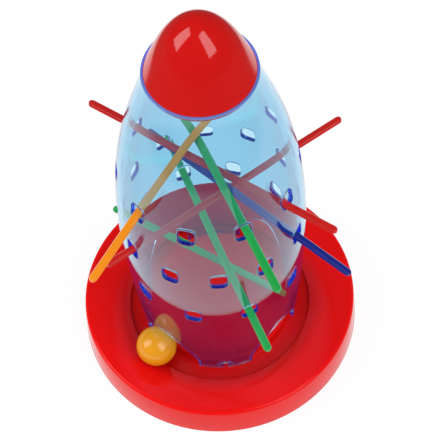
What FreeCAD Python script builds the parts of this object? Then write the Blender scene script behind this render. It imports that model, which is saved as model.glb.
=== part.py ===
import FreeCAD, Part
import math
import os

os.makedirs("parts", exist_ok=True)

# Ball drop game: a red tray, a clear body with rings of holes, a nose cap, loose sticks and a ball.
# Millimetres. +Z is up, the origin is the middle of the tray's foot, and the viewer stands towards -Y.

# Clearances
gap = 0.3

# Clear body: radius of its outside at seven heights, each height counted from the one before
foot_radius = 39.7
skirt_radius = 42.4
belly_radius = 45.5
chest_radius = 44.05
shoulder_radius = 38.4
neck_radius = 29.8
lip_radius = 26.1
skirt_rise = 30.0
belly_rise = 50.0
chest_rise = 44.5
shoulder_rise = 35.0
neck_rise = 30.0
lip_rise = 16.4
lip_lean = 1.6
body_wall = 2.2
body_turn = 0.8
seam_turn = 16.0
leg_count = 4
arch_half_width = 16.7
arch_spring = 5.5
arch_rise = 21.5
arch_side_pull = 7.0
arch_top_pull = 7.0
notch_height = 5.0

# Tray
tray_wall = 2.2
trough_floor = 10.5
trough_width = 6.8
ring_step = 1.5
ring_width = 21.8
ring_rise = 6.4
rim_rounding = 1.7
side_draft = 0.9
hub_step = 6.0
dome_rise = 6.0
dome_fullness = 0.75
rib_width = 1.3

# Nose cap
nose_ledge = 0.9
nose_wall = 2.0
nose_plug_depth = 4.0
nose_low_rise = 8.6
nose_mid_rise = 15.0
nose_high_rise = 7.8
nose_top_rise = 3.2
nose_low_radius = 21.9
nose_mid_radius = 14.8
nose_high_radius = 7.9

# Sticks
stick_width = 4.3
stick_thickness = 2.6
stick_bevel = 0.85
long_stick = 138.0
blue_stick = 120.0
steep_stick = 122.5

# Where the sticks lie: raised ends, inner ends, and how far each stands out of its first hole
red_b_raise = 2.6
orange_raise = 0.1
blue_drop = 5.5
blue_inset = 2.0
blue_aside = 4.5
steep_angle = -6.0
steep_inset = 2.2
steep_lift = 2.4
orange_overhang = 40.8
green_a_overhang = 38.9
green_b_overhang = 23.2
red_a_overhang = 28.2
red_b_overhang = 34.0

# Rings of holes: a hole takes sticks that lie at three levels
hole_play = 3.7
hole_spare = 0.8
hole_corner = 2.4
first_ring_height = 62.9
ring_pitch = 35.4
hole_count = {"low": 10, "middle": 12, "top": 10}

# Ball
ball_radius = 10.25
ball_angle = -138.0

# Sizes that follow
hole_width = stick_width + hole_play
hole_height = 3 * stick_thickness + 4 * gap + hole_spare
body_foot = trough_floor
skirt_height = body_foot + skirt_rise
belly_height = skirt_height + belly_rise
chest_height = belly_height + chest_rise
shoulder_height = chest_height + shoulder_rise
neck_height = shoulder_height + neck_rise
lip_height = neck_height + lip_rise
hub_radius = foot_radius - body_wall - gap
hub_height = trough_floor + hub_step
trough_radius = foot_radius + trough_width
ring_low = trough_floor + ring_step
rim_height = ring_low + ring_rise
rim_radius = trough_radius + ring_width + rim_rounding
tray_foot_radius = rim_radius + side_draft
ring_height = {
    "low": body_foot + first_ring_height,
    "middle": body_foot + first_ring_height + ring_pitch,
    "top": body_foot + first_ring_height + 2 * ring_pitch,
}
# The tools that cut the wall start inside it, and don't meet at the axis
cut_start = lip_radius
cut_length = 2 * belly_radius
up = FreeCAD.Vector(0, 0, 1)


def at(radius, height):
    """A point of a half section that is turned about the Z axis."""
    return FreeCAD.Vector(radius, 0, height)


def line(a, b):
    return Part.LineSegment(a, b).toShape()


def chain(points):
    """Straight edges from point to point."""
    return [line(a, b) for a, b in zip(points, points[1:])]


def smooth(points, start, end):
    """A smooth curve through the points, with its directions at both ends."""
    curve = Part.BSplineCurve()
    curve.interpolate(Points=points, InitialTangent=start, FinalTangent=end)
    return curve


def turned(edges, angle=360):
    """The solid that a closed half section sweeps about the Z axis."""
    face = Part.Face(Part.Wire(edges))
    return face.revolve(FreeCAD.Vector(0, 0, 0), up, angle)


def about_axis(shape, angle):
    """A copy of the shape, turned about the Z axis by an angle in degrees."""
    copy = shape.copy()
    copy.rotate(FreeCAD.Vector(0, 0, 0), up, angle)
    return copy


# Half section of the clear body
body_stations = [
    (foot_radius, body_foot),
    (skirt_radius, skirt_height),
    (belly_radius, belly_height),
    (chest_radius, chest_height),
    (shoulder_radius, shoulder_height),
    (neck_radius, neck_height),
    (lip_radius, lip_height),
]
foot_slope = FreeCAD.Vector(skirt_radius - foot_radius, 0, skirt_rise)
lip_slope = FreeCAD.Vector(-lip_lean, 0, lip_rise)
body_outside = smooth([at(r, z) for r, z in body_stations], foot_slope, lip_slope)
body_inside = smooth([at(r - body_wall, z) for r, z in body_stations], foot_slope, lip_slope)


def outside_radius(height):
    """Radius of the clear body's outside at a height."""
    low = body_outside.FirstParameter
    high = body_outside.LastParameter
    for _ in range(50):
        middle = (low + high) / 2
        if body_outside.value(middle).z < height:
            low = middle
        else:
            high = middle
    return body_outside.value(low).x


def rounded_hole():
    """A rounded square tool for one hole, along +X, about its own middle."""
    corner = FreeCAD.Vector(cut_start, -hole_width / 2, -hole_height / 2)
    tool = Part.makeBox(cut_length, hole_width, hole_height, corner)
    along = [edge for edge in tool.Edges if abs(edge.tangentAt(edge.FirstParameter).x) > 0.9]
    return tool.makeFillet(hole_corner, along)


def ring_of_holes(ring):
    """The tools for every hole of one ring."""
    count = hole_count[ring]
    tool = rounded_hole()
    tool.translate(FreeCAD.Vector(0, 0, ring_height[ring]))
    return [about_axis(tool, body_turn + 360 * k / count) for k in range(count)]


def arch_tool():
    """The opening between two legs, along +X."""
    spring = body_foot + arch_spring
    top = spring + arch_rise
    below = 0
    corners = [(-arch_half_width, spring), (-arch_half_width, below), (arch_half_width, below),
               (arch_half_width, spring)]
    edges = chain([FreeCAD.Vector(cut_start, y, z) for y, z in corners])
    for side in (1, -1):
        curve = Part.BezierCurve()
        curve.setPoles([
            FreeCAD.Vector(cut_start, side * arch_half_width, spring),
            FreeCAD.Vector(cut_start, side * arch_half_width, spring + arch_side_pull),
            FreeCAD.Vector(cut_start, side * arch_top_pull, top),
            FreeCAD.Vector(cut_start, 0, top),
        ])
        edges.append(curve.toShape())
    face = Part.Face(Part.Wire(Part.__sortEdges__(edges)))
    return face.extrude(FreeCAD.Vector(cut_length, 0, 0))


def make_body():
    low = [at(foot_radius - body_wall, body_foot), at(foot_radius, body_foot)]
    high = [at(lip_radius, lip_height), at(lip_radius - body_wall, lip_height)]
    section = [line(*low), body_outside.toShape(), line(*high), body_inside.toShape()]
    half = turned(section, 180)
    tools = []
    for ring in hole_count:
        tools += ring_of_holes(ring)
    step = 360 / leg_count
    notch_width = rib_width + 2 * gap
    corner = FreeCAD.Vector(cut_start, -notch_width / 2, body_foot - notch_height)
    notch = Part.makeBox(cut_length, notch_width, 2 * notch_height, corner)
    for leg in range(leg_count):
        tools.append(about_axis(arch_tool(), body_turn + step * (leg + 0.5)))
        tools.append(about_axis(notch, body_turn + step * leg))
    halves = [about_axis(half, body_turn + seam_turn + turn).cut(tools) for turn in (0, 180)]
    return halves[0].fuse(halves[1])


def make_tray():
    dome_top = hub_height + dome_rise
    inner_rim = rim_radius - rim_rounding
    turn = rim_rounding * math.sqrt(0.5)
    rim_middle = at(inner_rim + turn, rim_height - rim_rounding + turn)
    dome_reach = hub_radius / 2
    dome_shoulder = hub_height + dome_fullness * dome_rise
    dome_middle = at(dome_reach, dome_shoulder)
    edges = chain([at(0, dome_top - tray_wall), at(0, dome_top)])
    edges.append(Part.Arc(at(0, dome_top), dome_middle, at(hub_radius, hub_height)).toShape())
    edges += chain([
        at(hub_radius, hub_height),
        at(hub_radius, trough_floor),
        at(trough_radius, trough_floor),
        at(trough_radius, ring_low),
        at(inner_rim, rim_height),
    ])
    rim_side = at(rim_radius, rim_height - rim_rounding)
    edges.append(Part.Arc(at(inner_rim, rim_height), rim_middle, rim_side).toShape())
    under_ring = ring_low + ring_rise * tray_wall / ring_width - tray_wall
    edges += chain([
        rim_side,
        at(tray_foot_radius, 0),
        at(tray_foot_radius - tray_wall, 0),
        at(rim_radius - tray_wall, rim_height - rim_rounding - tray_wall),
        at(inner_rim - tray_wall, rim_height - tray_wall),
        at(trough_radius + tray_wall, under_ring),
        at(trough_radius + tray_wall, trough_floor - tray_wall),
        at(hub_radius - tray_wall, trough_floor - tray_wall),
        at(hub_radius - tray_wall, hub_height - tray_wall),
    ])
    under_middle = at(dome_reach, dome_shoulder - tray_wall)
    start = at(hub_radius - tray_wall, hub_height - tray_wall)
    edges.append(Part.Arc(start, under_middle, at(0, dome_top - tray_wall)).toShape())
    tray = turned(edges)
    rib_end = foot_radius - body_wall / 2
    rib_start = hub_radius - tray_wall
    corner = FreeCAD.Vector(rib_start, -rib_width / 2, trough_floor - tray_wall / 2)
    rib = Part.makeBox(rib_end - rib_start, rib_width, notch_height - gap + tray_wall / 2, corner)
    ribs = [about_axis(rib, body_turn + 360 / leg_count * leg) for leg in range(leg_count)]
    return tray.fuse(ribs)


def make_nose():
    """The cap stands on the top of the clear body's lip, and its plug goes into the mouth."""
    base_radius = lip_radius - nose_ledge
    low = lip_height + nose_low_rise
    middle = low + nose_mid_rise
    high = middle + nose_high_rise
    tip = high + nose_top_rise
    stations = [
        (base_radius, lip_height),
        (nose_low_radius, low),
        (nose_mid_radius, middle),
        (nose_high_radius, high),
        (0, tip),
    ]
    start = FreeCAD.Vector(nose_low_radius - base_radius, 0, nose_low_rise)
    inwards = FreeCAD.Vector(-nose_high_radius, 0, 0)
    outside = smooth([at(r, z) for r, z in stations], start, inwards)
    plug_radius = lip_radius - body_wall - gap
    plug_foot = lip_height - nose_plug_depth
    hollow = [
        (plug_radius - nose_wall, lip_height),
        (nose_low_radius - nose_wall, low - nose_wall),
        (nose_mid_radius - nose_wall, middle - nose_wall),
        (0, tip - 2 * nose_wall),
    ]
    inside = smooth([at(r, z) for r, z in hollow], start, inwards)
    edges = chain([
        at(0, tip - 2 * nose_wall),
        at(0, tip),
    ])
    edges.append(outside.toShape())
    edges += chain([
        at(base_radius, lip_height),
        at(plug_radius, lip_height),
        at(plug_radius, plug_foot),
        at(plug_radius - nose_wall, plug_foot),
        at(plug_radius - nose_wall, lip_height),
    ])
    edges.append(inside.toShape())
    return turned(Part.__sortEdges__(edges))


def hole_angle(ring, index):
    return math.radians(body_turn + 360 * index / hole_count[ring])


def hole_middle(ring, index):
    """The point in the middle of the wall and of the hole."""
    angle = hole_angle(ring, index)
    radius = outside_radius(ring_height[ring]) - body_wall / 2
    return FreeCAD.Vector(radius * math.cos(angle), radius * math.sin(angle), ring_height[ring])


def in_hole(ring, index, towards, lean):
    """Where a stick's middle line crosses the wall, on the hole's lower edge.

    towards is the stick's other end. lean is how far the stick lies to one side, from -1 to 1
    of its free play, counted to the left of someone who looks out of the hole.
    """
    middle = hole_middle(ring, index)
    angle = hole_angle(ring, index)
    run = towards - middle
    plan = math.hypot(run.x, run.y)
    left = FreeCAD.Vector(-math.sin(angle), math.cos(angle), 0)
    skew = math.asin(min(1, abs(run.dot(left)) / plan))
    half_across = stick_width / 2 / math.cos(skew) + body_wall / 2 * math.tan(skew)
    side = lean * (hole_width / 2 - gap - half_across)
    slope = abs(run.z) / plan
    half_deep = (stick_thickness / 2 + gap) * math.hypot(1, slope) + body_wall / 2 * slope
    flat = half_across - stick_bevel
    over = max(0, abs(side) + flat + gap - (hole_width / 2 - hole_corner))
    edge = hole_height / 2 - hole_corner + math.sqrt(hole_corner ** 2 - over ** 2)
    return middle + left * side + up * (half_deep - edge)


def propped(fixed, free, under):
    """The free end, raised until the stick passes a gap above the stick under it."""
    own = free - fixed
    other = under[1] - under[0]
    apart = under[0] - fixed
    cross = own.x * other.y - own.y * other.x
    along = (apart.x * other.y - apart.y * other.x) / cross
    along_other = (apart.x * own.y - apart.y * own.x) / cross
    lower = under[0] + other * along_other
    length = math.hypot(own.x, own.y)
    other_length = math.hypot(other.x, other.y)
    spread = stick_width / 2 * length * other_length / abs(cross)
    height = free.z
    for _ in range(3):
        slope = abs(height - fixed.z) / length + abs(other.z) / other_length
        needed = lower.z + stick_thickness + gap + spread * slope
        height = fixed.z + (needed - fixed.z) / along
    return FreeCAD.Vector(free.x, free.y, height)


def make_stick(first, second, overhang, length):
    """A flat bar with bevelled sides and round ends, which starts overhang outside its first hole."""
    along = (second - first).normalize()
    across = up.cross(along).normalize()
    above = along.cross(across)
    half_w = stick_width / 2
    half_t = stick_thickness / 2
    flat = half_w - stick_bevel
    corners = [(-half_w, 0), (-flat, -half_t), (flat, -half_t), (half_w, 0), (flat, half_t),
               (-flat, half_t), (-half_w, 0)]
    section = Part.Face(Part.Wire(chain([FreeCAD.Vector(0, y, z) for y, z in corners])))
    bar = section.extrude(FreeCAD.Vector(length, 0, 0))
    near = half_w
    far = length - half_w
    outline = [
        line(FreeCAD.Vector(near, -half_w, 0), FreeCAD.Vector(far, -half_w, 0)),
        Part.Arc(FreeCAD.Vector(far, -half_w, 0), FreeCAD.Vector(length, 0, 0),
                 FreeCAD.Vector(far, half_w, 0)).toShape(),
        line(FreeCAD.Vector(far, half_w, 0), FreeCAD.Vector(near, half_w, 0)),
        Part.Arc(FreeCAD.Vector(near, half_w, 0), FreeCAD.Vector(0, 0, 0),
                 FreeCAD.Vector(near, -half_w, 0)).toShape(),
    ]
    plate = Part.Face(Part.Wire(outline))
    plate.translate(FreeCAD.Vector(0, 0, -stick_thickness))
    bar = bar.common(plate.extrude(up * (2 * stick_thickness)))
    start = first - along * overhang
    bar.Placement = FreeCAD.Placement(FreeCAD.Matrix(
        along.x, across.x, above.x, start.x,
        along.y, across.y, above.y, start.y,
        along.z, across.z, above.z, start.z,
        0, 0, 0, 1))
    return bar


def lie_through(first, second, first_lean, second_lean):
    """Both ends of the middle line of a stick that rests in two holes."""
    a = in_hole(*first, hole_middle(*second), first_lean)
    b = in_hole(*second, hole_middle(*first), second_lean)
    return [a, b]


def make_sticks():
    """Five sticks go through two holes each. Two go into one hole and stop inside the body."""
    red_a = lie_through(("top", -1), ("top", 4), -0.7, -0.8)
    red_b = lie_through(("middle", 1), ("middle", -5), 0.9, -0.9)
    red_b[0] += up * red_b_raise
    green_b = lie_through(("low", -2), ("low", 3), 0.3, -0.5)
    green_front, green_back = lie_through(("top", -2), ("top", 3), 0.6, -0.6)
    green_a = [propped(green_back, green_front, red_a), green_back]
    orange_front, orange_back = lie_through(("top", -4), ("top", 2), 0.1, 0.7)
    orange_front.z = ring_height["top"] + orange_raise
    orange = [orange_front, propped(orange_front, orange_back, green_a)]
    blue_end = red_a[1] - up * blue_drop
    inwards = (red_a[0] - red_a[1]).normalize()
    blue_end += inwards * (body_wall / 2 + blue_inset)
    blue_end += inwards.cross(up) * -blue_aside
    blue = [in_hole("middle", -1, blue_end, 0.3), blue_end]
    angle = math.radians(steep_angle)
    floor_radius = hub_radius - steep_inset
    floor = FreeCAD.Vector(floor_radius * math.cos(angle), floor_radius * math.sin(angle),
                           hub_height + steep_lift)
    steep = [in_hole("middle", 6, floor, 0.0), floor]
    return {
        "stick_orange": make_stick(*orange, orange_overhang, long_stick),
        "stick_green_a": make_stick(*green_a, green_a_overhang, long_stick),
        "stick_green_b": make_stick(*green_b, green_b_overhang, long_stick),
        "stick_green_c": make_stick(*steep, steep_stick - (floor - steep[0]).Length, steep_stick),
        "stick_red_a": make_stick(*red_a, red_a_overhang, long_stick),
        "stick_red_b": make_stick(*red_b, red_b_overhang, long_stick),
        "stick_blue": make_stick(*blue, blue_stick - (blue_end - blue[0]).Length, blue_stick),
    }


def make_ball():
    """The ball lies in front of an arch, between the hub's edge and the sloping ring."""
    reach = ball_radius + gap
    slope = math.atan2(ring_rise, ring_width)
    along = FreeCAD.Vector(math.cos(slope), 0, math.sin(slope))
    out = FreeCAD.Vector(-math.sin(slope), 0, math.cos(slope))
    ring_edge = at(trough_radius, ring_low)
    hub_edge = at(hub_radius, hub_height) - ring_edge
    shift = hub_edge.dot(along) + math.sqrt(reach ** 2 - (reach - hub_edge.dot(out)) ** 2)
    middle = ring_edge + out * reach + along * shift
    return about_axis(Part.makeSphere(ball_radius, middle), ball_angle)


pieces = {
    "base_tray": make_tray(),
    "rocket_body": make_body(),
    "nose_cone": make_nose(),
    "ball": make_ball(),
}
pieces.update(make_sticks())

for name, shape in pieces.items():
    if shape.ShapeType == "Compound" and len(shape.Solids) == 1:
        shape = shape.Solids[0]
    shape.exportStep(f"parts/{name}.step")
    box = shape.BoundBox
    print(name, len(shape.Solids), "valid", shape.isValid(), f"{shape.Volume:.0f} mm3",
          f"z {box.ZMin:.2f} to {box.ZMax:.2f}")
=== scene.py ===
import math

import bmesh
import bpy
import numpy as np
from mathutils import Matrix, Vector


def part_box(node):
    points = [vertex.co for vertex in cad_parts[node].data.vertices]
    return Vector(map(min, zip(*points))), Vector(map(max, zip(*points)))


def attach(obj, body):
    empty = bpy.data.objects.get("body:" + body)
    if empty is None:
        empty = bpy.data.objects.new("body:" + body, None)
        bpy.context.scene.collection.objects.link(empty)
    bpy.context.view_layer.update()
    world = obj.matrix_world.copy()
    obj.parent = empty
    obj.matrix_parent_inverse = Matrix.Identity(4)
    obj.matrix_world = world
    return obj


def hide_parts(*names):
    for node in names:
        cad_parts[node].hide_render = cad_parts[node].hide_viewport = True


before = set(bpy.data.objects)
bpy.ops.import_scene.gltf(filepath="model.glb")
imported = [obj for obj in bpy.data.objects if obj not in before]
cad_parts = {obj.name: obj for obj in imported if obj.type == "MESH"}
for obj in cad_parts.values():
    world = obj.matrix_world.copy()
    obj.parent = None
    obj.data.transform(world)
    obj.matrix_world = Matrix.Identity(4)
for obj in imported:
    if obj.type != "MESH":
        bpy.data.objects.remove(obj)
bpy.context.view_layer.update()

MM = 0.001

# Sizes shared with the CAD pieces, in millimetres. Angles are in degrees.
GAP = 0.3

WALL = 2.2
BODY_TURN = 0.8
BODY_FOOT = 10.5
FOOT_RADIUS = 39.7
FOOT_SLOPE = 0.09
LIP_HEIGHT = 216.4
LIP_RADIUS = 26.1
LIP_SLOPE = -0.0976
BODY_STATIONS = [
    (BODY_FOOT, FOOT_RADIUS),
    (40.5, 42.4),
    (90.5, 45.5),
    (135.0, 44.05),
    (170.0, 38.4),
    (200.0, 29.8),
    (LIP_HEIGHT, LIP_RADIUS),
]
HOLE_WIDTH = 8.0
HOLE_HEIGHT = 9.8
HOLE_CORNER = 2.4
FIRST_RING = 73.4
RING_PITCH = 35.4
RING_HOLES = (10, 12, 10)
LEGS = 4
ARCH_HALF_WIDTH = 16.7
ARCH_SPRING = 16.0
ARCH_TOP = 37.5
ARCH_PULL = 7.0
NOTCH_TOP = 15.5

TRAY_WALL = 2.2
TRAY_FOOT = 70.9
HUB_HEIGHT = 16.5
DOME_TOP = 22.5
DOME_SHARE = 0.75
TROUGH_RADIUS = 46.5
RING_LOW = 12.0
RIM_HEIGHT = 18.4
RIM_RADIUS = 70.0
RIM_ROUNDING = 1.7
RIB_WIDTH = 1.3

NOSE_WALL = 2.0
NOSE_RADIUS = 25.2
NOSE_LOW = (21.9, 225.0)
NOSE_MIDDLE = (14.8, 240.0)
NOSE_HIGH = (7.9, 247.8)
NOSE_TIP = 251.0
PLUG_DEPTH = 4.0

STICK_BEVEL = 0.85

# Sizes that follow from them
HUB_RADIUS = FOOT_RADIUS - WALL - GAP
NOTCH_HALF_WIDTH = RIB_WIDTH / 2 + GAP
RIB_TOP = NOTCH_TOP - GAP
RIB_END = FOOT_RADIUS - WALL / 2
PLUG_RADIUS = LIP_RADIUS - WALL - GAP
PLUG_BORE = PLUG_RADIUS - NOSE_WALL
PLUG_FOOT = LIP_HEIGHT - PLUG_DEPTH
NOSE_STATIONS = [
    (NOSE_RADIUS, LIP_HEIGHT),
    NOSE_LOW,
    NOSE_MIDDLE,
    NOSE_HIGH,
    (0, NOSE_TIP),
]
NOSE_HOLLOW = [
    (PLUG_BORE, LIP_HEIGHT),
    (NOSE_LOW[0] - NOSE_WALL, NOSE_LOW[1] - NOSE_WALL),
    (NOSE_MIDDLE[0] - NOSE_WALL, NOSE_MIDDLE[1] - NOSE_WALL),
    (0, NOSE_TIP - 2 * NOSE_WALL),
]

# Details that the CAD pieces don't have
RIB_SINK = 0.5
BALL_SEAM_DEPTH = 0.06
BALL_SEAM_REACH = 0.16
BALL_TIP = 63.0
BALL_ROLL = 25.0
STICK_END_ANGLE = 86.0
STICK_END_THINNING = 0.3

# The soft edges that the moulds leave. A rounding takes at most a share of each side beside it.
EDGE = 0.35
TIGHT_EDGE = 0.3
SOFT_EDGE = 0.4
WIDE_EDGE = 0.5
RING_EDGE = 1.3
RIB_EDGE = 0.25
NOSE_EDGE = 0.7
PLUG_EDGE = 0.2
STICK_SIDE_EDGE = 0.5
STICK_FACE_EDGE = 0.45
CORNER_STEPS = 4
SIDE_SHARE = 0.45

# Edges that turn by more than this stay sharp
TRAY_SHARP = 35.0
NOSE_SHARP = 40.0
STICK_SHARP = 50.0

# How the meshes are divided. Columns go round a piece, and rows go up it.
COLUMNS = 240
ROW = RING_PITCH / 30
CELL = 12
CELL_LOOPS = 4
ARCH_ROWS = 26
ARCH_LOOPS = 11
ARCH_CURVE_STEPS = 400
ROWS_OVER_ARCH = 1.4
NOTCH_POINTS = 5
EDGE_STEPS = 3
NET_TOP = 215.0
DOME_STEPS = 24
RIM_STEPS = 8
NOSE_COLUMNS = 192
NOSE_STEPS = 40
HOLLOW_STEPS = 24
BALL_COLUMNS = 144
BALL_ROWS = 72
STICK_END_STEPS = 12

# A gap that keeps faces apart where pieces touch, and the sizes that count as nothing in a mesh
LIFT = 0.05
MERGED = 0.004
SLIVER = 0.001
ON_AXIS = 1e-6

# Moulded plastic: broad waves and a fine grain, as noise per metre, and what they change
PLASTIC_IOR = 1.5
WAVE_SCALE = 35.0
WAVE_DETAIL = 2.0
WAVE_STRENGTH = 0.35
WAVE_HEIGHT = 0.06
GRAIN_SCALE = 420.0
GRAIN_DETAIL = 4.0
SHADE_SPREAD = 0.05
GLOSS_SPREAD = (0.8, 1.25)
PLAIN_SHINE = 0.5

# Colours and gloss of the moulded pieces
TRAY_COLOR = (0.66, 0.004, 0.004)
TRAY_ROUGHNESS = 0.12
TRAY_SHINE = 0.15
NOSE_COLOR = (0.47, 0.004, 0.003)
NOSE_ROUGHNESS = 0.10
BALL_COLOR = (0.64, 0.255, 0.007)
BALL_ROUGHNESS = 0.16
STICK_COLORS = {
    "stick_orange": (0.74, 0.22, 0.002),
    "stick_green": (0.008, 0.28, 0.046),
    "stick_red": (0.48, 0.007, 0.005),
    "stick_blue": (0.005, 0.012, 0.18),
}
STICK_ROUGHNESS = 0.22

# Painted shade in the tray's trough, where the body's walls keep the light away: its middle and
# reach in millimetres, and how dark it is
TROUGH_SHADE = (45.0, 12.0, 0.66)

# Clear plastic: about half of its tint lies on the faces, and the rest deepens with the way through
CLEAR_IOR = 1.49
CLEAR_ROUGHNESS = 0.015
CLEAR_GLOSS = (0.012, 0.019)
FACE_TINT = (0.70, 0.90, 0.97)
DEPTH_TINT = (0.20, 0.76, 0.93)
DEPTH_DENSITY = 150.0
# Painted glow: light given off inside the wall, which stands for the light that the wall carries to
# its edges
GLOW_COLOR = (0.05, 0.06, 1.0)
GLOW_STRENGTH = 9.0

# Painted light on the lip: a pale diffuse layer on its top that stands for the light coming through
# its rounded edge, so the lip looks paler than the wall
LIP_PAINTED_LIGHT_COLOR = (0.28, 0.42, 0.88)
LIP_PAINTED_LIGHT_SHARE = 0.38
LIP_PAINTED_LIGHT_DEPTH = 0.4

# The camera: its place is in millimetres, and its focal length in pixels of the photograph
IMAGE_SIZE = 440
SENSOR = 36.0
FOCAL_PIXELS = 1938.5
CAMERA_PLACE = (3.46, -494.38, 899.50)
CAMERA_ELEVATION = 58.566
CAMERA_ROLL = 4.563

# The studio: a floor with a bright sheet round the object, a pale sky, and two soft boxes
FLOOR_REACH = 3000.0
FLOOR_COLOR = (0.9, 0.9, 0.9)
FLOOR_ROUGHNESS = 0.9
FLOOR_GLOW = 0.9
SHEET_REACH = 340.0
SHEET_FADE = 40.0
SKY_LIGHT = 0.75
SKY_MIRRORED = 0.08
BOX_POWER = 23.0
BOX_DISTANCE = 2000.0
BOX_TARGET = (0, 0, 200.0)
LEFT_BOX = {"azimuth": -176, "elevation": 37, "width": 1150.0, "height": 1750.0}
RIGHT_BOX = {"azimuth": -45, "elevation": 42, "width": 1100.0, "height": 1850.0}


# Camera
def make_camera():
    """The photograph's view: high above the front, a long lens, and a slight roll."""
    elevation = math.radians(CAMERA_ELEVATION)
    roll = math.radians(CAMERA_ROLL)
    back = Vector((0, -math.cos(elevation), math.sin(elevation)))
    right = Vector((1, 0, 0))
    up = back.cross(right)
    across = right * math.cos(roll) - up * math.sin(roll)
    upright = right * math.sin(roll) + up * math.cos(roll)
    data = bpy.data.cameras.new("camera")
    data.sensor_width = SENSOR
    data.lens = FOCAL_PIXELS * SENSOR / IMAGE_SIZE
    camera = bpy.data.objects.new("camera", data)
    turn = Matrix((across, upright, back)).transposed().to_4x4()
    camera.matrix_world = Matrix.Translation(Vector(CAMERA_PLACE) * MM) @ turn
    bpy.context.scene.collection.objects.link(camera)
    bpy.context.scene.camera = camera


# Steps of the materials
def own_place(tree):
    """Where a point lies in its piece's own coordinates, in metres."""
    return tree.nodes.new("ShaderNodeTexCoord").outputs["Object"]


def ray_is(tree, kind):
    """One for rays of a kind, such as Camera or Shadow, and nothing for the others."""
    return tree.nodes.new("ShaderNodeLightPath").outputs["Is %s Ray" % kind]


def calculated(tree, operation, source, value=0.0):
    """The result of an operation on a source and a number."""
    node = tree.nodes.new("ShaderNodeMath")
    node.operation = operation
    node.inputs[1].default_value = value
    tree.links.new(source, node.inputs[0])
    return node.outputs[0]


def either(tree, first, second):
    """The larger of two values, so one if either is one."""
    node = tree.nodes.new("ShaderNodeMath")
    node.operation = "MAXIMUM"
    tree.links.new(first, node.inputs[0])
    tree.links.new(second, node.inputs[1])
    return node.outputs[0]


def vector_length(tree, vector):
    """How long a vector is."""
    node = tree.nodes.new("ShaderNodeVectorMath")
    node.operation = "LENGTH"
    tree.links.new(vector, node.inputs[0])
    return node.outputs["Value"]


def ramp(tree, source, low, high, start=0.0, end=1.0, smooth=False):
    """Maps start to end of the source on low to high, and holds these outside of it."""
    node = tree.nodes.new("ShaderNodeMapRange")
    if smooth:
        node.interpolation_type = "SMOOTHSTEP"
    node.inputs["From Min"].default_value = start
    node.inputs["From Max"].default_value = end
    node.inputs["To Min"].default_value = low
    node.inputs["To Max"].default_value = high
    tree.links.new(source, node.inputs["Value"])
    return node.outputs["Result"]


def noise(tree, scale, detail):
    """Noise in the piece's own coordinates."""
    pattern = tree.nodes.new("ShaderNodeTexNoise")
    pattern.inputs["Scale"].default_value = scale
    pattern.inputs["Detail"].default_value = detail
    tree.links.new(own_place(tree), pattern.inputs["Vector"])
    return pattern.outputs["Fac"]


def color_between(tree, share, first, second):
    """A colour that goes from one fixed colour to another by a share."""
    node = tree.nodes.new("ShaderNodeMix")
    node.data_type = "RGBA"
    ends = [socket for socket in node.inputs if socket.type == "RGBA"]
    for socket, color in zip(ends, (first, second)):
        socket.default_value = (*color, 1)
    tree.links.new(share, node.inputs[0])
    return [socket for socket in node.outputs if socket.type == "RGBA"][0]


def shader_between(tree, share, first, second):
    """A shader that goes from one shader to another by a share."""
    node = tree.nodes.new("ShaderNodeMixShader")
    tree.links.new(share, node.inputs["Fac"])
    tree.links.new(first, node.inputs[1])
    tree.links.new(second, node.inputs[2])
    return node.outputs["Shader"]


def bump(tree, bsdf, source, strength, distance):
    """Waves in the surface that follow a source."""
    node = tree.nodes.new("ShaderNodeBump")
    node.inputs["Strength"].default_value = strength
    node.inputs["Distance"].default_value = distance
    tree.links.new(source, node.inputs["Height"])
    tree.links.new(node.outputs["Normal"], bsdf.inputs["Normal"])


def deepened(tree, color, middle, reach, shade):
    """The colour with painted shade: darker in a ring round the axis, where walls close by keep the
    light away.
    """
    flat = tree.nodes.new("ShaderNodeVectorMath")
    flat.operation = "MULTIPLY"
    flat.inputs[1].default_value = (1, 1, 0)
    tree.links.new(own_place(tree), flat.inputs[0])
    away = calculated(tree, "SUBTRACT", vector_length(tree, flat.outputs["Vector"]), middle * MM)
    distance = calculated(tree, "ABSOLUTE", away)
    fade = ramp(tree, distance, shade, 1.0, end=reach * MM, smooth=True)
    scaled = tree.nodes.new("ShaderNodeVectorMath")
    scaled.operation = "SCALE"
    tree.links.new(color, scaled.inputs[0])
    tree.links.new(fade, scaled.inputs["Scale"])
    return scaled.outputs["Vector"]


def above(tree, height, share):
    """The share where the piece lies above a height, and nothing below it."""
    split = tree.nodes.new("ShaderNodeSeparateXYZ")
    tree.links.new(own_place(tree), split.inputs[0])
    higher = calculated(tree, "GREATER_THAN", split.outputs["Z"], height * MM)
    return calculated(tree, "MULTIPLY", higher, share)


# Materials
def plain(name, color, roughness, **sockets):
    """A material with its even values on the shader's own sockets."""
    material = bpy.data.materials.new(name)
    material.use_nodes = True
    tree = material.node_tree
    bsdf = tree.nodes["Principled BSDF"]
    bsdf.inputs["Base Color"].default_value = (*color, 1)
    bsdf.inputs["Roughness"].default_value = roughness
    for key, value in sockets.items():
        bsdf.inputs[key.replace("_", " ")].default_value = value
    return material, tree, bsdf


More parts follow.
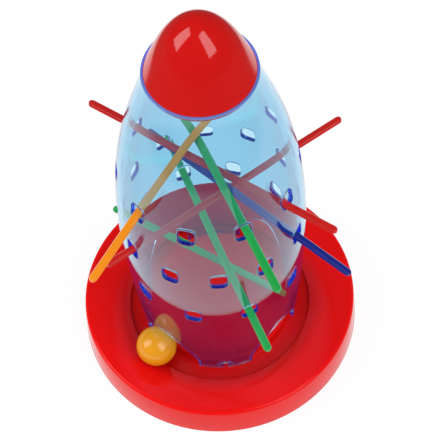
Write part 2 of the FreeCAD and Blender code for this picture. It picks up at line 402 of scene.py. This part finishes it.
def moulded(name, color, roughness, shine=PLAIN_SHINE, trough=None):
    """Glossy moulded plastic: faint waves from the mould, a faintly uneven shade and gloss.

    A trough, (radius, reach, shade), adds painted shade: darker round that radius, fading out over
    the reach.
    """
    material, tree, bsdf = plain(name, color, roughness, IOR=PLASTIC_IOR, Specular_IOR_Level=shine)
    waves = noise(tree, WAVE_SCALE, WAVE_DETAIL)
    grain = noise(tree, GRAIN_SCALE, GRAIN_DETAIL)
    darker = [c * (1 - SHADE_SPREAD) for c in color]
    lighter = [c * (1 + SHADE_SPREAD) for c in color]
    shade = color_between(tree, waves, darker, lighter)
    if trough:
        shade = deepened(tree, shade, *trough)
    tree.links.new(shade, bsdf.inputs["Base Color"])
    glossiest, dullest = [roughness * spread for spread in GLOSS_SPREAD]
    tree.links.new(ramp(tree, grain, glossiest, dullest), bsdf.inputs["Roughness"])
    bump(tree, bsdf, waves, WAVE_STRENGTH, WAVE_HEIGHT * MM)
    return material


def clear_plastic():
    """Clear blue plastic, tinted on its faces and more so the longer light goes through it.

    The faint glow stands for the light that the wall carries to its edges. Shadow and diffuse
    rays go straight through, so that what is inside the body is lit.
    """
    material, tree, bsdf = plain("clear_blue", FACE_TINT, CLEAR_ROUGHNESS, IOR=CLEAR_IOR,
                                 Transmission_Weight=1.0)
    gloss = ramp(tree, noise(tree, GRAIN_SCALE, GRAIN_DETAIL), *CLEAR_GLOSS)
    tree.links.new(gloss, bsdf.inputs["Roughness"])
    # Painted light: a pale diffuse layer on the lip's top, which stands for the light that comes
    # through its rounded edge
    painted_lip_light = tree.nodes.new("ShaderNodeBsdfDiffuse")
    painted_lip_light.inputs["Color"].default_value = (*LIP_PAINTED_LIGHT_COLOR, 1)
    painted_lip_share = above(tree, LIP_HEIGHT - LIP_PAINTED_LIGHT_DEPTH, LIP_PAINTED_LIGHT_SHARE)
    wall = shader_between(tree, painted_lip_share, bsdf.outputs["BSDF"], painted_lip_light.outputs["BSDF"])
    through = tree.nodes.new("ShaderNodeBsdfTransparent")
    through.inputs["Color"].default_value = (1, 1, 1, 1)
    lighting = either(tree, ray_is(tree, "Shadow"), ray_is(tree, "Diffuse"))
    surface = shader_between(tree, lighting, wall, through.outputs["BSDF"])
    absorb = tree.nodes.new("ShaderNodeVolumeAbsorption")
    absorb.inputs["Color"].default_value = (*DEPTH_TINT, 1)
    absorb.inputs["Density"].default_value = DEPTH_DENSITY
    glow = tree.nodes.new("ShaderNodeEmission")
    glow.inputs["Color"].default_value = (*GLOW_COLOR, 1)
    glow.inputs["Strength"].default_value = GLOW_STRENGTH
    both = tree.nodes.new("ShaderNodeAddShader")
    tree.links.new(absorb.outputs["Volume"], both.inputs[0])
    tree.links.new(glow.outputs["Emission"], both.inputs[1])
    output = tree.nodes["Material Output"]
    tree.links.new(surface, output.inputs["Surface"])
    tree.links.new(both.outputs["Shader"], output.inputs["Volume"])
    return material


TRAY_RED = moulded("tray_red", TRAY_COLOR, TRAY_ROUGHNESS, TRAY_SHINE, TROUGH_SHADE)
NOSE_RED = moulded("nose_red", NOSE_COLOR, NOSE_ROUGHNESS)
BALL_ORANGE = moulded("ball_orange", BALL_COLOR, BALL_ROUGHNESS)
STICK_PLASTICS = {slot: moulded(slot, STICK_COLORS[slot], STICK_ROUGHNESS) for slot in STICK_COLORS}
CLEAR_BLUE = clear_plastic()


# Curves and meshes
def spline(stations, start=None, end=None):
    """A smooth function through (place, value) stations, with end slopes where they are given."""
    x = np.array([s[0] for s in stations], float)
    y = np.array([s[1] for s in stations], float)
    n = len(x)
    h = np.diff(x)
    rise = np.diff(y) / h
    system = np.zeros((n, n))
    wanted = np.zeros(n)
    for i in range(1, n - 1):
        system[i, i - 1:i + 2] = (1 / h[i - 1], 2 / h[i - 1] + 2 / h[i], 1 / h[i])
        wanted[i] = 3 * (rise[i - 1] / h[i - 1] + rise[i] / h[i])
    for i, j, slope, chord in ((0, 1, start, rise[0]), (n - 1, n - 2, end, rise[-1])):
        system[i, i] = 1 if slope is not None else 2
        system[i, j] = 0 if slope is not None else 1
        wanted[i] = slope if slope is not None else 3 * chord
    slopes = np.linalg.solve(system, wanted)

    def value(at):
        at = np.asarray(at, float)
        k = np.clip(np.searchsorted(x, at) - 1, 0, n - 2)
        t = (at - x[k]) / h[k]
        near = (1 + 2 * t) * (1 - t) ** 2 * y[k] + t * (1 - t) ** 2 * h[k] * slopes[k]
        far = t * t * (3 - 2 * t) * y[k + 1] + t * t * (t - 1) * h[k] * slopes[k + 1]
        return near + far

    return value


def distances_along(points):
    """How far each point of a line lies from its start, measured along the line."""
    return np.concatenate([[0], np.cumsum(np.linalg.norm(np.diff(points, axis=0), axis=1))])


def curve_through(points, start, end, steps):
    """Points of a smooth plane curve through the given ones, with its end directions."""
    points = np.array(points, float)
    along = distances_along(points)
    start = np.array(start, float) / np.linalg.norm(start)
    end = np.array(end, float) / np.linalg.norm(end)
    r = spline(list(zip(along, points[:, 0])), start[0], end[0])
    z = spline(list(zip(along, points[:, 1])), start[1], end[1])
    at = np.linspace(0, along[-1], steps + 1)
    return [(float(a), float(b)) for a, b in zip(r(at), z(at))]


def arc_through(a, b, c, steps):
    """Points of the circle's arc from a through b to c."""
    (ax, ay), (bx, by), (cx, cy) = a, b, c
    d = 2 * (ax * (by - cy) + bx * (cy - ay) + cx * (ay - by))
    sa, sb, sc = ax * ax + ay * ay, bx * bx + by * by, cx * cx + cy * cy
    ux = (sa * (by - cy) + sb * (cy - ay) + sc * (ay - by)) / d
    uy = (sa * (cx - bx) + sb * (ax - cx) + sc * (bx - ax)) / d
    radius = math.hypot(ax - ux, ay - uy)
    first = math.atan2(ay - uy, ax - ux)
    last = math.atan2(cy - uy, cx - ux)
    turn = (last - first + math.pi) % (2 * math.pi) - math.pi
    angles = [first + turn * k / steps for k in range(steps + 1)]
    return [(ux + radius * math.cos(t), uy + radius * math.sin(t)) for t in angles]


def rounded(corners):
    """A closed outline from (x, y, rounding) corners. A rounding of 0 keeps a corner sharp."""
    out = []
    count = len(corners)
    for i, (x, y, size) in enumerate(corners):
        here = np.array((x, y), float)
        if size <= 0:
            out.append((x, y))
            continue
        before = np.array(corners[i - 1][:2], float) - here
        after = np.array(corners[(i + 1) % count][:2], float) - here
        u = before / np.linalg.norm(before)
        v = after / np.linalg.norm(after)
        half = math.acos(float(np.clip(u @ v, -1, 1))) / 2
        room = SIDE_SHARE * min(np.linalg.norm(before), np.linalg.norm(after))
        reach = min(size / math.tan(half), room)
        size = reach * math.tan(half)
        middle = here + (u + v) / np.linalg.norm(u + v) * size / math.sin(half)
        start = here + u * reach - middle
        end = here + v * reach - middle
        for k in range(CORNER_STEPS + 1):
            arm = start * (1 - k / CORNER_STEPS) + end * (k / CORNER_STEPS)
            point = middle + arm / np.linalg.norm(arm) * size
            out.append((float(point[0]), float(point[1])))
    return out


def turned(profile, columns):
    """Vertices and faces of a closed half section, in (radius, height), turned about Z."""
    vertices = []
    rows = []
    for r, z in profile:
        if r < ON_AXIS:
            vertices.append((0, 0, z))
            rows.append([len(vertices) - 1] * columns)
            continue
        start = len(vertices)
        for k in range(columns):
            a = 2 * math.pi * k / columns
            vertices.append((r * math.cos(a), r * math.sin(a), z))
        rows.append(list(range(start, start + columns)))
    faces = []
    for low, high in zip(rows, rows[1:] + rows[:1]):
        for k in range(columns):
            m = (k + 1) % columns
            ring = list(dict.fromkeys((low[k], low[m], high[m], high[k])))
            if len(ring) > 2:
                faces.append(ring)
    return vertices, faces


def tube_faces(sections, points, start=0):
    """Faces of a closed tube through sections that have as many points each."""
    faces = []
    for section in range(sections - 1):
        low = start + section * points
        high = low + points
        for i in range(points):
            j = (i + 1) % points
            faces.append([low + i, low + j, high + j, high + i])
    last = start + (sections - 1) * points
    faces.append([start + i for i in range(points)])
    faces.append([last + i for i in reversed(range(points))])
    return faces


def piece(name, vertices, faces, body, nodes, material, sharp=None):
    """A finished mesh that stands for CAD nodes and rides on their body."""
    mesh = bpy.data.meshes.new(name)
    mesh.from_pydata((np.array(vertices, float) * MM).tolist(), [], faces)
    work = bmesh.new()
    work.from_mesh(mesh)
    bmesh.ops.remove_doubles(work, verts=work.verts, dist=MERGED * MM)
    bmesh.ops.dissolve_degenerate(work, edges=work.edges, dist=SLIVER * MM)
    bmesh.ops.recalc_face_normals(work, faces=work.faces)
    work.to_mesh(mesh)
    work.free()
    mesh.shade_smooth()
    if sharp is not None:
        mesh.set_sharp_from_angle(angle=math.radians(sharp))
    mesh.materials.append(material)
    obj = bpy.data.objects.new(name, mesh)
    bpy.context.scene.collection.objects.link(obj)
    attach(obj, body)
    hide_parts(*nodes)
    return obj


# Clear body
body_radius = spline(BODY_STATIONS, start=FOOT_SLOPE, end=LIP_SLOPE)

# Where a point of a net, as WallNet describes it, keeps its height and its depth
HEIGHT = 3
DEPTH = 4


class WallNet:
    """Nets of quads on the body's wall.

    A point of a net is (centre, turn, side, height, depth): an angle of a hole or arch, a turn
    from it, a distance straight across it, a height, and how deep it lies in the wall.
    """

    def __init__(self):
        self.vertices = []
        self.faces = []
        self.count = 0

    def add(self, net):
        """Takes an array of rows of points, and makes a quad between each four."""
        centre, turn, side, height, depth = np.moveaxis(np.asarray(net, float), -1, 0)
        radius = body_radius(height) - depth
        angle = np.radians(centre + turn) + np.arcsin(side / radius)
        place = np.stack([radius * np.cos(angle), radius * np.sin(angle), height], -1)
        rows, columns = place.shape[:2]
        number = self.count + np.arange(rows * columns).reshape(rows, columns)
        quads = np.stack([number[:-1, :-1], number[:-1, 1:], number[1:, 1:], number[1:, :-1]], -1)
        self.vertices.append(place.reshape(-1, 3))
        self.faces += quads.reshape(-1, 4).tolist()
        self.count += rows * columns

    def add_both(self, net):
        """The same net on the outside and on the inside of the wall."""
        for depth in (0, WALL):
            copy = np.array(net, float)
            copy[..., DEPTH] = depth
            self.add(copy)

    def add_edge(self, inset, true):
        """Carries a soft edge through the wall, from the outer sheet to the inner one."""
        inset = np.asarray(inset, float)
        true = np.asarray(true, float)
        rows = []
        for k in range(EDGE_STEPS + 1):
            t = k / EDGE_STEPS * math.pi / 2
            rows.append((math.sin(t), EDGE * (1 - math.cos(t))))
        rows += [(share, WALL - depth) for share, depth in reversed(rows)]
        net = []
        for share, depth in rows:
            row = inset + (true - inset) * share
            row[:, DEPTH] = depth
            net.append(row)
        self.add(net)


def blended(first, last, steps):
    """Rows of points that lead from one line of points to another."""
    first = np.asarray(first, float)
    last = np.asarray(last, float)
    return np.array([first + (last - first) * k / steps for k in range(steps + 1)])


def hole_outline(grow):
    """A hole grown by a margin, as (side, height) from its middle, back to its first point."""
    corner = HOLE_CORNER + grow
    x = HOLE_WIDTH / 2 - HOLE_CORNER
    y = HOLE_HEIGHT / 2 - HOLE_CORNER
    quarter = []
    straight = CELL // 4
    for k in range(straight):
        quarter.append((x + corner, y * k / straight))
    for k in range(2 * straight):
        t = math.pi / 2 * k / (2 * straight)
        quarter.append((x + corner * math.cos(t), y + corner * math.sin(t)))
    for k in range(straight):
        quarter.append((x * (1 - k / straight), y + corner))
    second = [(-a, b) for a, b in [(0, y + corner)] + quarter[:0:-1]]
    third = [(-a, -b) for a, b in quarter]
    fourth = [(-a, -b) for a, b in second]
    outline = quarter + second + third + fourth
    return outline + outline[:1]


def cell_outline():
    """The square of the net around a hole, as (columns, rows) from its middle."""
    half = CELL // 2
    path = [(half, k) for k in range(half)]
    path += [(k, half) for k in range(half, -half, -1)]
    path += [(-half, k) for k in range(half, -half, -1)]
    path += [(k, -half) for k in range(-half, half)]
    path += [(half, k) for k in range(-half, 1)]
    return path


def arch_curve(grow):
    """The arch's outline from foot to foot, as (side, height), moved into the wall by a margin."""
    count = 2 * ARCH_ROWS + COLUMNS // LEGS
    poles = [
        (-ARCH_HALF_WIDTH, ARCH_SPRING),
        (-ARCH_HALF_WIDTH, ARCH_SPRING + ARCH_PULL),
        (-ARCH_PULL, ARCH_TOP),
        (0, ARCH_TOP),
    ]
    fine = [(-ARCH_HALF_WIDTH, BODY_FOOT + LIFT)]
    for k in range(ARCH_CURVE_STEPS + 1):
        t = k / ARCH_CURVE_STEPS
        weights = ((1 - t) ** 3, 3 * t * (1 - t) ** 2, 3 * t * t * (1 - t), t ** 3)
        fine.append(tuple(np.dot(weights, poles)))
    fine += [(-x, z) for x, z in reversed(fine[:-1])]
    fine = np.array(fine)
    along = distances_along(fine)
    at = np.linspace(0, along[-1], count + 1)
    x = np.interp(at, along, fine[:, 0])
    z = np.interp(at, along, fine[:, 1])
    dx = np.gradient(x)
    dz = np.gradient(z)
    dx[0] = dx[-1] = 0
    length = np.hypot(dx, dz)
    x -= grow * dz / length
    z += grow * dx / length
    z[0] = z[-1] = BODY_FOOT + LIFT + grow
    return x, z


def leg_line(grow):
    """Half a leg's middle, from the foot up and round the notch, as (side, height)."""
    foot = BODY_FOOT + LIFT + grow
    top = NOTCH_TOP + grow
    side = NOTCH_HALF_WIDTH + grow
    cell_top = FIRST_RING - round((FIRST_RING - ARCH_TOP) / ROW - ROWS_OVER_ARCH) * ROW
    steps = NOTCH_POINTS - 1
    line = [(side, foot + (NOTCH_TOP - foot) * k / steps) for k in range(steps)]
    line.append((side, top))
    rest = ARCH_ROWS - NOTCH_POINTS
    line += [(0, top + (cell_top - top) * k / rest) for k in range(rest + 1)]
    return line


def arch_cell(net, centre):
    """The wall around one arch, from the middle of one leg to the middle of the next."""
    half_turn = 180 / LEGS
    lines = []
    for grow in (EDGE, 0):
        left = [(centre, -half_turn, s, z, 0) for s, z in leg_line(grow)]
        right = [(centre, half_turn, -s, z, 0) for s, z in reversed(leg_line(grow))]
        across = COLUMNS // LEGS
        height = left[-1][HEIGHT]
        top = [(centre, half_turn * (2 * k / across - 1), 0, height, 0) for k in range(1, across)]
        x, z = arch_curve(grow)
        arch = [(centre, 0, a, b, 0) for a, b in zip(x, z)]
        lines.append((left + top + right, arch))
    (outer, arch), (true_outer, true_arch) = lines
    loops = blended(outer, arch, ARCH_LOOPS)
    true_loops = blended(true_outer, true_arch, ARCH_LOOPS)
    net.add_both(loops)
    for end, step in ((0, 1), (-1, -1)):
        spots = [(0, end + step * k) for k in range(NOTCH_POINTS, -1, -1)]
        spots += [(k, end) for k in range(1, ARCH_LOOPS + 1)]
        net.add_edge([loops[spot] for spot in spots], [true_loops[spot] for spot in spots])
    net.add_edge(loops[-1], true_loops[-1])


def make_body():
    """The hollow body: its holes and arches have their own nets, with plain wall between them."""
    net = WallNet()
    step = 360 / COLUMNS
    half = CELL // 2
    pitch = round(RING_PITCH / ROW)

    def grid(first_column, last_column, first_row, last_row):
        """Plain wall between two columns and two rows, counted from the first ring's first hole."""
        columns = range(first_column, last_column + 1)
        heights = [FIRST_RING + row * ROW for row in range(first_row, last_row + 1)]
        net.add_both([[(BODY_TURN, c * step, 0, z, 0) for c in columns] for z in heights])

    lowest = -round((FIRST_RING - leg_line(EDGE)[-1][1]) / ROW)
    highest = round((NET_TOP - FIRST_RING) / ROW)
    below = lowest
    for ring, holes in enumerate(RING_HOLES):
        middle = ring * pitch
        grid(0, COLUMNS, below, middle - half)
        below = middle + half
        spacing = COLUMNS // holes
        height = FIRST_RING + middle * ROW
        for hole in range(holes):
            column = hole * spacing
            centre = BODY_TURN + column * step
            grid(column + half, column + spacing - half, middle - half, middle + half)
            cell = [(centre, c * step, 0, height + r * ROW, 0) for c, r in cell_outline()]
            inset = [(centre, 0, x, height + y, 0) for x, y in hole_outline(EDGE)]
            true = [(centre, 0, x, height + y, 0) for x, y in hole_outline(0)]
            net.add_both(blended(cell, inset, CELL_LOOPS))
            net.add_edge(inset, true)
    grid(0, COLUMNS, below, highest)
    for leg in range(LEGS):
        arch_cell(net, BODY_TURN + (leg + 0.5) * 360 / LEGS)

    start = FIRST_RING + highest * ROW
    lip = rounded([
        (float(body_radius(start)), start, 0),
        (LIP_RADIUS, LIP_HEIGHT, EDGE),
        (LIP_RADIUS - WALL, LIP_HEIGHT, EDGE),
        (float(body_radius(start)) - WALL, start, 0),
    ])
    rows = []
    for r, z in lip:
        depth = float(body_radius(z)) - r
        rows.append([(BODY_TURN, c * step, 0, z, depth) for c in range(COLUMNS + 1)])
    net.add(rows)
    return piece("clear_body", np.concatenate(net.vertices), net.faces, "body", ["rocket_body"],
                 CLEAR_BLUE)


# Tray
def make_tray():
    """The round tray: a domed hub, a trough round it, a sloping ring and a rounded rim."""
    summit = (0, DOME_TOP)
    shoulder = (HUB_RADIUS / 2, HUB_HEIGHT + DOME_SHARE * (DOME_TOP - HUB_HEIGHT))
    dome = arc_through(summit, shoulder, (HUB_RADIUS, HUB_HEIGHT), DOME_STEPS)
    under = arc_through(summit, shoulder, (HUB_RADIUS - TRAY_WALL, HUB_HEIGHT), DOME_STEPS // 2)
    inner_rim = RIM_RADIUS - RIM_ROUNDING
    outer_rim = RIM_HEIGHT - RIM_ROUNDING
    turn = RIM_ROUNDING * math.sqrt(0.5)
    rim = arc_through((inner_rim, RIM_HEIGHT), (inner_rim + turn, outer_rim + turn),
                      (RIM_RADIUS, outer_rim), RIM_STEPS)
    slope = (RIM_HEIGHT - RING_LOW) / (inner_rim - TROUGH_RADIUS)
    under_ring = RING_LOW + slope * TRAY_WALL - TRAY_WALL
    corners = [(r, z, 0) for r, z in dome[:-1]]
    corners += [
        (HUB_RADIUS, HUB_HEIGHT, WIDE_EDGE),
        (HUB_RADIUS, BODY_FOOT, SOFT_EDGE),
        (TROUGH_RADIUS, BODY_FOOT, TIGHT_EDGE),
        (TROUGH_RADIUS, RING_LOW, RING_EDGE),
    ]
    corners += [(r, z, 0) for r, z in rim]
    corners += [
        (TRAY_FOOT, 0, SOFT_EDGE),
        (TRAY_FOOT - TRAY_WALL, 0, SOFT_EDGE),
        (RIM_RADIUS - TRAY_WALL, outer_rim - TRAY_WALL, WIDE_EDGE),
        (inner_rim - TRAY_WALL, RIM_HEIGHT - TRAY_WALL, WIDE_EDGE),
        (TROUGH_RADIUS + TRAY_WALL, under_ring, TIGHT_EDGE),
        (TROUGH_RADIUS + TRAY_WALL, BODY_FOOT - TRAY_WALL, SOFT_EDGE),
        (HUB_RADIUS - TRAY_WALL, BODY_FOOT - TRAY_WALL, TIGHT_EDGE),
        (HUB_RADIUS - TRAY_WALL, HUB_HEIGHT - TRAY_WALL, TIGHT_EDGE),
    ]
    corners += [(r, z - TRAY_WALL, 0) for r, z in reversed(under[:-1])]
    vertices, faces = turned(rounded(corners), COLUMNS)
    return piece("red_tray", vertices, faces, "tray", ["base_tray"], TRAY_RED, TRAY_SHARP)


def make_ribs():
    """The four short walls that stand in the notches of the legs."""
    half = RIB_WIDTH / 2
    low = BODY_FOOT - RIB_SINK
    section = rounded([
        (-half, low, 0),
        (-half, RIB_TOP, RIB_EDGE),
        (half, RIB_TOP, RIB_EDGE),
        (half, low, 0),
    ])
    vertices = []
    faces = []
    for leg in range(LEGS):
        a = math.radians(BODY_TURN + leg * 360 / LEGS)
        out = Vector((math.cos(a), math.sin(a), 0))
        side = Vector((-math.sin(a), math.cos(a), 0))
        ends = (HUB_RADIUS - RIB_SINK, RIB_END)
        faces += tube_faces(len(ends), len(section), len(vertices))
        for reach in ends:
            vertices += [tuple(out * reach + side * y + Vector((0, 0, z))) for y, z in section]
    return piece("tray_ribs", vertices, faces, "tray", ["base_tray"], TRAY_RED, TRAY_SHARP)


# Nose cap
def make_nose():
    """The hollow cap, with a plug that goes into the body's mouth."""
    start = np.subtract(NOSE_STATIONS[1], NOSE_STATIONS[0])
    outside = curve_through(NOSE_STATIONS, start, (-1, 0), NOSE_STEPS)
    hollow = curve_through(NOSE_HOLLOW, start, (-1, 0), HOLLOW_STEPS)
    corners = [(r, z, 0) for r, z in reversed(outside[1:])]
    corners += [
        (NOSE_RADIUS, LIP_HEIGHT + LIFT, NOSE_EDGE),
        (PLUG_RADIUS, LIP_HEIGHT + LIFT, PLUG_EDGE),
        (PLUG_RADIUS, PLUG_FOOT, SOFT_EDGE),
        (PLUG_BORE, PLUG_FOOT, SOFT_EDGE),
    ]
    corners += [(r, z, 0) for r, z in hollow]
    vertices, faces = turned(rounded(corners), NOSE_COLUMNS)
    return piece("red_nose", vertices, faces, "nose", ["nose_cone"], NOSE_RED, NOSE_SHARP)


# Ball
def make_ball():
    """Two half shells that meet in a fine seam, tipped as the ball came to rest."""
    low, high = (np.array(corner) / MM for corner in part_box("ball"))
    middle = Vector((low + high) / 2)
    radius = float((high - low).mean()) / 2
    profile = []
    for k in range(BALL_ROWS + 1):
        t = math.pi * k / BALL_ROWS - math.pi / 2
        profile.append((radius * math.cos(t), radius * math.sin(t)))
    half = BALL_ROWS // 2
    profile[half:half + 1] = [
        (radius, -BALL_SEAM_REACH),
        (radius - BALL_SEAM_DEPTH, 0),
        (radius, BALL_SEAM_REACH),
    ]
    profile[0] = (0, -radius)
    profile[-1] = (0, radius)
    vertices, faces = turned(profile, BALL_COLUMNS)
    tip = Matrix.Rotation(math.radians(BALL_TIP), 3, "X")
    roll = Matrix.Rotation(math.radians(BALL_ROLL), 3, "Y")
    vertices = [tuple(tip @ roll @ Vector(v) + middle) for v in vertices]
    return piece("orange_ball", vertices, faces, "ball", ["ball"], BALL_ORANGE)


# Sticks
def stick_frame(node):
    """Middle, axes and sizes of a stick, measured on its CAD node."""
    points = np.array([v.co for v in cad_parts[node].data.vertices], float) / MM
    centre = points.mean(0)
    axes = np.linalg.svd(points - centre, full_matrices=False)[2]
    spans = (points - centre) @ axes.T
    middle = centre + axes.T @ ((spans.max(0) + spans.min(0)) / 2)
    sizes = spans.max(0) - spans.min(0)
    if np.linalg.det(axes) < 0:
        axes[2] *= -1
    return middle, axes, sizes


def make_stick(node, slot):
    """A flat bar with bevelled sides and rounded ends, where its CAD node lies."""
    middle, axes, (length, width, thickness) = stick_frame(node)
    half_w = width / 2
    half_t = thickness / 2
    flat = half_w - STICK_BEVEL
    section = rounded([
        (-half_w, 0, STICK_SIDE_EDGE),
        (-flat, -half_t, STICK_FACE_EDGE),
        (flat, -half_t, STICK_FACE_EDGE),
        (half_w, 0, STICK_SIDE_EDGE),
        (flat, half_t, STICK_FACE_EDGE),
        (-flat, half_t, STICK_FACE_EDGE),
    ])
    straight = length / 2 - half_w
    stations = []
    for k in range(STICK_END_STEPS):
        t = math.radians(STICK_END_ANGLE) * (1 - k / STICK_END_STEPS)
        share = math.cos(t)
        stations.append((straight + half_w * math.sin(t), share, share ** STICK_END_THINNING))
    stations.append((straight, 1, 1))
    stations += [(-x, wide, thick) for x, wide, thick in reversed(stations)]
    vertices = []
    for x, wide, thick in stations:
        for y, z in section:
            vertices.append(middle + axes.T @ np.array((x, y * wide, z * thick)))
    faces = tube_faces(len(stations), len(section))
    return piece(node + "_bar", vertices, faces, node, [node], STICK_PLASTICS[slot], STICK_SHARP)


# Studio
def seen(tree):
    """One for rays that show something to the camera, straight or through the clear wall."""
    return either(tree, ray_is(tree, "Camera"), ray_is(tree, "Transmission"))


def make_floor():
    """A pale floor that looks white to the camera and keeps a faint shadow."""
    size = FLOOR_REACH * MM
    mesh = bpy.data.meshes.new("floor")
    corners = [(-size, -size, 0), (size, -size, 0), (size, size, 0), (-size, size, 0)]
    mesh.from_pydata(corners, [], [(0, 1, 2, 3)])
    floor = bpy.data.objects.new("floor", mesh)
    bpy.context.scene.collection.objects.link(floor)
    material, tree, bsdf = plain("floor", FLOOR_COLOR, FLOOR_ROUGHNESS)
    reach = vector_length(tree, own_place(tree))
    sheet = ramp(tree, reach, 1.0, 0.0, SHEET_REACH * MM, (SHEET_REACH + SHEET_FADE) * MM)
    emission = tree.nodes.new("ShaderNodeEmission")
    tree.links.new(either(tree, seen(tree), sheet), emission.inputs["Strength"])
    bright = either(tree, seen(tree), ray_is(tree, "Glossy"))
    share = calculated(tree, "MULTIPLY", bright, FLOOR_GLOW)
    surface = shader_between(tree, share, bsdf.outputs["BSDF"], emission.outputs["Emission"])
    tree.links.new(surface, tree.nodes["Material Output"].inputs["Surface"])
    mesh.materials.append(material)


def make_world():
    """White behind everything that is seen, and a soft even light on the object."""
    world = bpy.data.worlds.new("studio")
    bpy.context.scene.world = world
    world.use_nodes = True
    tree = world.node_tree
    background = tree.nodes["Background"]
    background.inputs["Color"].default_value = (1, 1, 1, 1)
    level = ramp(tree, ray_is(tree, "Glossy"), SKY_LIGHT, SKY_MIRRORED)
    tree.links.new(either(tree, seen(tree), level), background.inputs["Strength"])


def softbox(name, azimuth, elevation, width, height):
    """A lamp with a flat face that looks at the object from a direction in degrees."""
    a = math.radians(azimuth)
    e = math.radians(elevation)
    out = Vector((math.cos(e) * math.cos(a), math.cos(e) * math.sin(a), math.sin(e)))
    data = bpy.data.lights.new(name, "AREA")
    data.shape = "RECTANGLE"
    data.size = width * MM
    data.size_y = height * MM
    data.energy = BOX_POWER
    lamp = bpy.data.objects.new(name, data)
    lamp.location = (Vector(BOX_TARGET) + out * BOX_DISTANCE) * MM
    lamp.rotation_euler = out.to_track_quat("Z", "Y").to_euler()
    bpy.context.scene.collection.objects.link(lamp)


make_camera()
make_body()
make_tray()
make_ribs()
make_nose()
make_ball()
for stick in [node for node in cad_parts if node.startswith("stick_")]:
    make_stick(stick, "_".join(stick.split("_")[:2]))
make_floor()
make_world()
softbox("left_softbox", **LEFT_BOX)
softbox("right_softbox", **RIGHT_BOX)
bpy.context.scene.view_settings.view_transform = "Standard"
